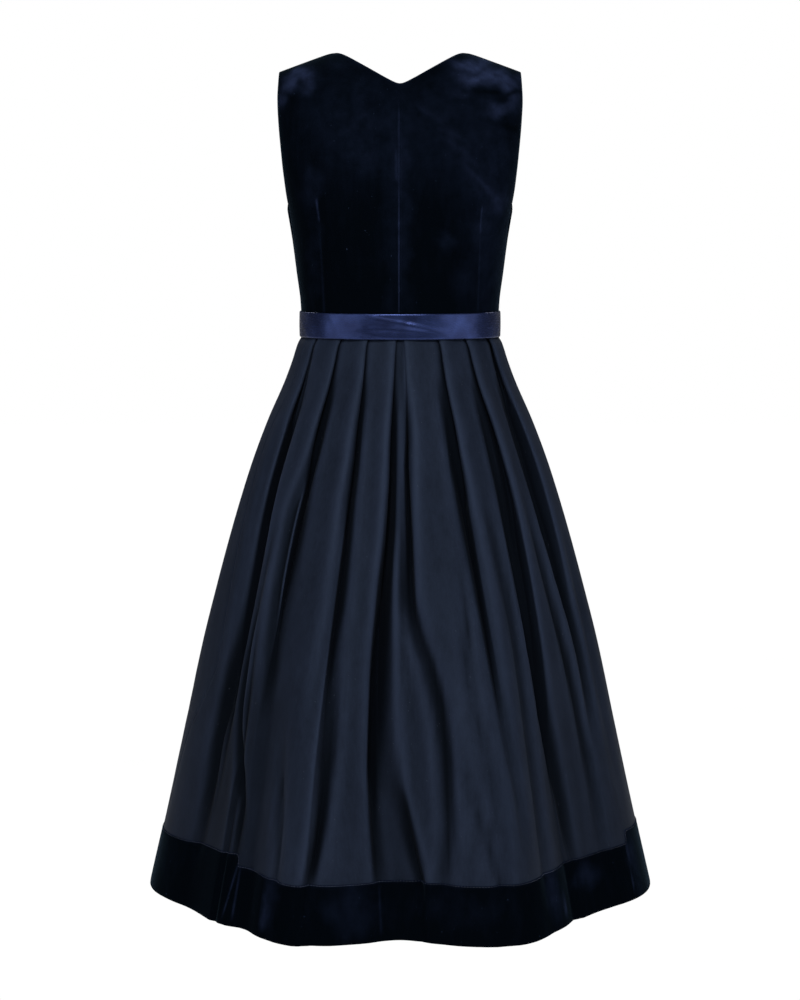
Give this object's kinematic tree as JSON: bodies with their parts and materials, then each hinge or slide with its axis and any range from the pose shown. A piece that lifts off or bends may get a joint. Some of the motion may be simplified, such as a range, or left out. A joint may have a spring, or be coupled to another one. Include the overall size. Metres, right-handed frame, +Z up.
{
  "type": "dirndl",
  "caption": "Sleeveless navy velvet dirndl with a pleated midi skirt, a velvet hem border and an apron on a satin waist ribbon, in the hollow form of its wearer.",
  "frame": {"origin": "between the shoulders, level with the two neck points, where the wearer's shoulders carry the dress", "axes": "+Z up, +Y the way the wearer faces, +X towards the wearer's right hand"},
  "size_m": [0.6412, 0.5668, 1.0457],
  "materials": {
    "velvet": "short velvet nap with a soft sheen",
    "cloth": "matte plain weave",
    "apron_cloth": "matte plain weave",
    "satin": "glossy satin"
  },
  "bodies": {
    "root": {"bodice_back_left": "velvet", "bodice_back_right": "velvet", "bodice_front_left": "velvet", "bodice_front_right": "velvet", "border_back": "velvet", "border_front": "velvet", "skirt_back": "cloth", "skirt_front": "cloth", "apron_panel": "apron_cloth", "ribbon_back": "satin", "ribbon_front": "satin", "bow_knot": "satin", "bow_loop_left": "satin", "bow_loop_right": "satin", "bow_tail_left": "satin", "bow_tail_right": "satin"}
  },
  "joints": []
}
